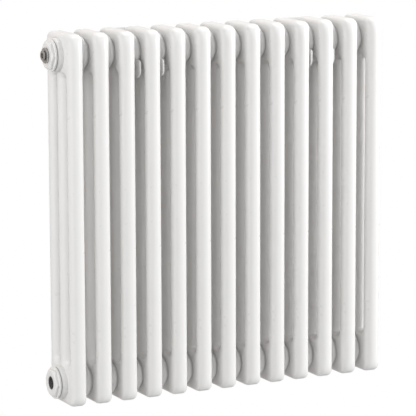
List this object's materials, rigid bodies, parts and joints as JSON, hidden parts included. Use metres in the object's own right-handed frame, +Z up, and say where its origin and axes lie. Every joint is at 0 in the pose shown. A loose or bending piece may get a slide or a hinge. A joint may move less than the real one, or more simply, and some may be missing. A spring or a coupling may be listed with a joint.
{
  "type": "column radiator",
  "caption": "White tubular steel column radiator hung on two hooked wall brackets, with hex bushes at one end, flush fittings at the other, a chrome air vent and open valve ports.",
  "frame": {"origin": "middle of the four wall screw holes, on the wall's surface", "axes": "+X along the row of sections, from the air vent's end to the blanked end; +Y into the wall; +Z up"},
  "size_m": [0.6015, 0.1302, 0.6],
  "materials": {
    "white_paint": "gloss white powder coat",
    "chrome_plate": "polished chrome plate",
    "raw_steel": "machined",
    "fibre_gasket": "matt compressed fibre",
    "black_rubber": "matt",
    "white_plastic": "satin moulded"
  },
  "bodies": {
    "wall_brackets": {"bracket_left": "white_paint", "bracket_right": "white_paint", "hook_pads_left": "white_plastic", "hook_pads_right": "white_plastic"},
    "radiator": {"top_head_01": "white_paint", "top_head_02": "white_paint", "top_head_03": "white_paint", "top_head_04": "white_paint", "top_head_05": "white_paint", "top_head_06": "white_paint", "top_head_07": "white_paint", "top_head_08": "white_paint", "top_head_09": "white_paint", "top_head_10": "white_paint", "top_head_11": "white_paint", "top_head_12": "white_paint", "top_head_13": "white_paint", "bottom_head_01": "white_paint", "bottom_head_02": "white_paint", "bottom_head_03": "white_paint", "bottom_head_04": "white_paint", "bottom_head_05": "white_paint", "bottom_head_06": "white_paint", "bottom_head_07": "white_paint", "bottom_head_08": "white_paint", "bottom_head_09": "white_paint", "bottom_head_10": "white_paint", "bottom_head_11": "white_paint", "bottom_head_12": "white_paint", "bottom_head_13": "white_paint", "tubes_01": "white_paint", "tubes_02": "white_paint", "tubes_03": "white_paint", "tubes_04": "white_paint", "tubes_05": "white_paint", "tubes_06": "white_paint", "tubes_07": "white_paint", "tubes_08": "white_paint", "tubes_09": "white_paint", "tubes_10": "white_paint", "tubes_11": "white_paint", "tubes_12": "white_paint", "tubes_13": "white_paint", "thread_rings_left": "raw_steel", "thread_rings_right": "raw_steel", "gasket_top_left": "fibre_gasket", "gasket_bottom_left": "fibre_gasket", "bush_top_left": "white_paint", "bush_bottom_left": "white_paint", "flush_plug_right": "white_paint", "flush_bush_right": "white_paint", "vent_plug": "chrome_plate", "vent_seal": "black_rubber"},
    "bleed_screw": {"bleed_screw": "raw_steel"}
  },
  "joints": [
    {"name": "lift_off", "type": "slide", "parent": "wall_brackets", "child": "radiator", "axis": [0, 0, 1], "range_m": [0, 0.02]},
    {"name": "bleed_turn", "type": "hinge", "parent": "radiator", "child": "bleed_screw", "pos_m": [-0.3225, -0.08, 0.022], "axis": [-1, 0, 0], "range_deg": [0, 360]}
  ]
}
